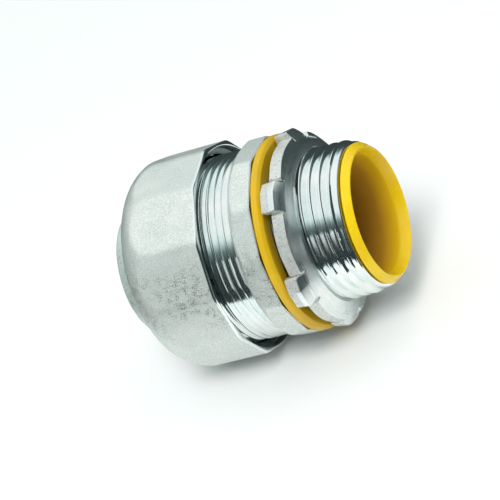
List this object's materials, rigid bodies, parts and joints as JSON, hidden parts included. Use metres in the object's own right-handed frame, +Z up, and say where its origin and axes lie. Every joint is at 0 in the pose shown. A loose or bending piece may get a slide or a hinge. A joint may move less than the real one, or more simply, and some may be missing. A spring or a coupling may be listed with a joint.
{
  "type": "conduit compression fitting",
  "caption": "Straight liquid-tight conduit fitting: threaded hub with insulated throat, flanged body, sealing ring, stamped locknut and domed gland nut that clamps the conduit.",
  "frame": {"origin": "middle of the gland nut's lowest flat, on which the fitting lies", "axes": "+X along the passage from the conduit entry to the threaded hub, +Z up from the flat"},
  "size_m": [0.0452, 0.0362, 0.0362],
  "materials": {
    "plated_body": "bright zinc plating, turned threads, satin flange",
    "plated_casting": "satin zinc plating over a fine cast skin with small dark pits",
    "plated_steel": "bright zinc plating with rough sheared edges",
    "white_nylon": "natural nylon",
    "yellow_liner": "moulded yellow plastic, soft gloss",
    "yellow_seal": "moulded yellow sealing ring, satin"
  },
  "bodies": {
    "fitting": {"connector_body": "plated_body", "throat_liner": "yellow_liner"},
    "ferrule": {"grounding_ferrule": "plated_steel"},
    "gland_ring": {"compression_ring": "white_nylon"},
    "gland": {"gland_nut": "plated_casting"},
    "seal": {"sealing_ring": "yellow_seal"},
    "locknut": {"locknut": "plated_steel"}
  },
  "joints": [
    {"name": "ferrule_spin", "type": "hinge", "parent": "fitting", "child": "ferrule", "pos_m": [0.005, 0, 0.0181], "axis": [1, 0, 0], "continuous": true},
    {"name": "gland_travel", "type": "slide", "parent": "fitting", "child": "gland_ring", "axis": [1, 0, 0], "range_m": [-0.0052, 0.0047]},
    {"name": "gland_nut_turn", "type": "hinge", "parent": "gland_ring", "child": "gland", "pos_m": [0, 0, 0.0181], "axis": [1, 0, 0], "range_deg": [-1440, 1296]},
    {"name": "locknut_turn", "type": "hinge", "parent": "fitting", "child": "seal", "pos_m": [0.016, 0, 0.0181], "axis": [1, 0, 0], "range_deg": [0, 2880]},
    {"name": "locknut_travel", "type": "slide", "parent": "seal", "child": "locknut", "axis": [1, 0, 0], "range_m": [0, 0.0146]}
  ],
  "couplings": [
    {"joint": "gland_travel", "follows": "gland_nut_turn", "m_per_rad": 0.00020213},
    {"joint": "locknut_travel", "follows": "locknut_turn", "m_per_rad": 0.00028871}
  ]
}
